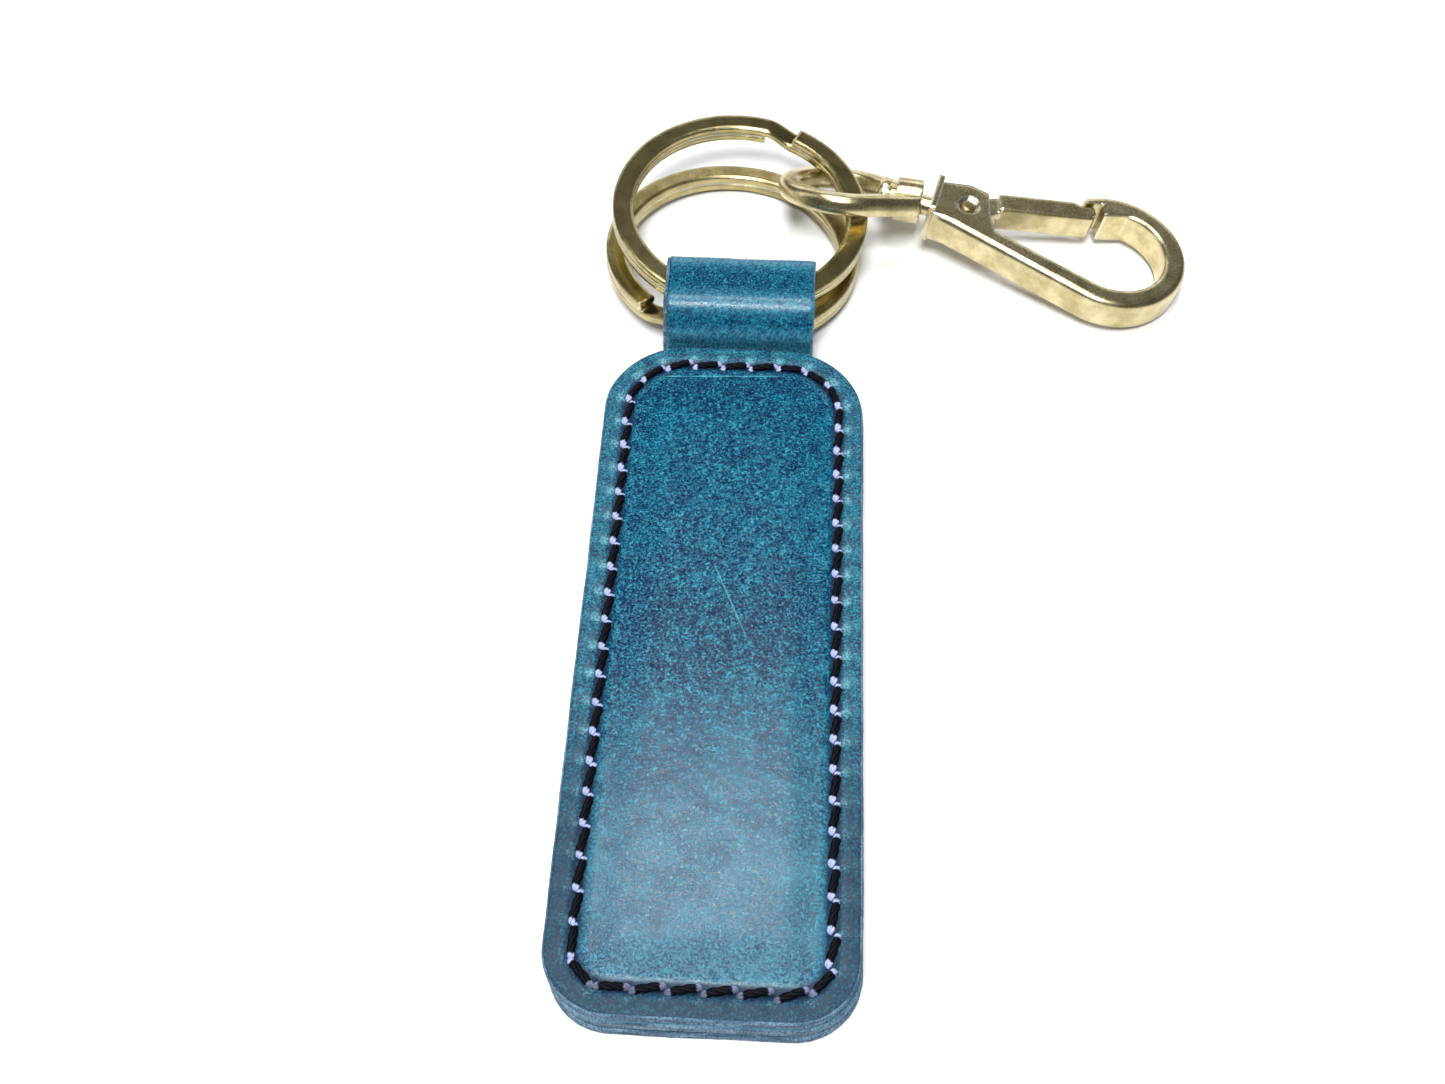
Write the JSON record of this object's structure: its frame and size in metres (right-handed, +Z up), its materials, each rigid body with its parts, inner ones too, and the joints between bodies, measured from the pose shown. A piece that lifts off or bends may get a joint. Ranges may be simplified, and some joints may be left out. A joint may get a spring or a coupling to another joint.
{
  "type": "keychain",
  "caption": "Flat sewn leather key fob whose folded strap loop carries two split rings, with a swivel snap hook on the upper ring for clipping keys to a bag or belt loop",
  "frame": {"origin": "Middle of the leather fob's back face, on the table it lies on", "axes": "+X to the side on which the swivel hook lies; +Y along the fob, from its rounded foot to the strap loop; +Z up, out of the fob's front face"},
  "size_m": [0.0729, 0.1168, 0.0114],
  "materials": {
    "panel_leather": "waxed pull-up leather, fine grain, slightly rubbed",
    "core_leather": "cut leather edge, lighter and fibrous",
    "strap_leather": "thin waxed leather, fine diagonal grain",
    "sewing_thread": "waxed navy thread with a slight sheen",
    "ring_brass": "antique brass plating, brushed, edges rubbed bright",
    "cast_brass": "antique brass plating over a cast body, edges rubbed bright",
    "pin_steel": "plated steel, darker in the recess"
  },
  "bodies": {
    "fob": {"front_panel": "panel_leather", "filler_panel": "core_leather", "back_panel": "panel_leather", "strap_loop": "strap_leather", "needle_thread": "sewing_thread", "bobbin_thread": "sewing_thread"},
    "ring_lower": {"split_ring_lower": "ring_brass"},
    "ring_upper": {"split_ring_upper": "ring_brass"},
    "eye": {"swivel_eye": "cast_brass"},
    "hook": {"hook_body": "cast_brass", "swivel_stud": "cast_brass", "gate_pin": "pin_steel", "gate_spring": "pin_steel"},
    "gate": {"gate": "cast_brass"}
  },
  "joints": [
    {"name": "lower_ring_turn", "type": "hinge", "parent": "fob", "child": "ring_lower", "pos_m": [-0.00145, 0.05803, 0.0025], "axis": [0.0435, 0.0706, 0.9966], "continuous": true},
    {"name": "upper_ring_turn", "type": "hinge", "parent": "fob", "child": "ring_upper", "pos_m": [-0.0006, 0.0606, 0.00707], "axis": [0.0662, -0.0489, 0.9966], "range_deg": [-6, 38]},
    {"name": "eye_flap", "type": "hinge", "parent": "ring_upper", "child": "eye", "pos_m": [0.01381, 0.06366, 0.00626], "axis": [-0.2043, 0.977, 0.0615], "range_deg": [-3, 5]},
    {"name": "hook_swivel", "type": "hinge", "parent": "eye", "child": "hook", "pos_m": [0.0233, 0.06375, 0.00618], "axis": [0.9628, -0.2419, -0.1201], "continuous": true},
    {"name": "gate_swing", "type": "hinge", "parent": "hook", "child": "gate", "pos_m": [0.02773, 0.06264, 0.00563], "axis": [-0.1165, 0.0293, -0.9928], "range_deg": [0, 22], "stiffness_Nm_per_rad": 0.002, "springref_deg": -20.05}
  ]
}
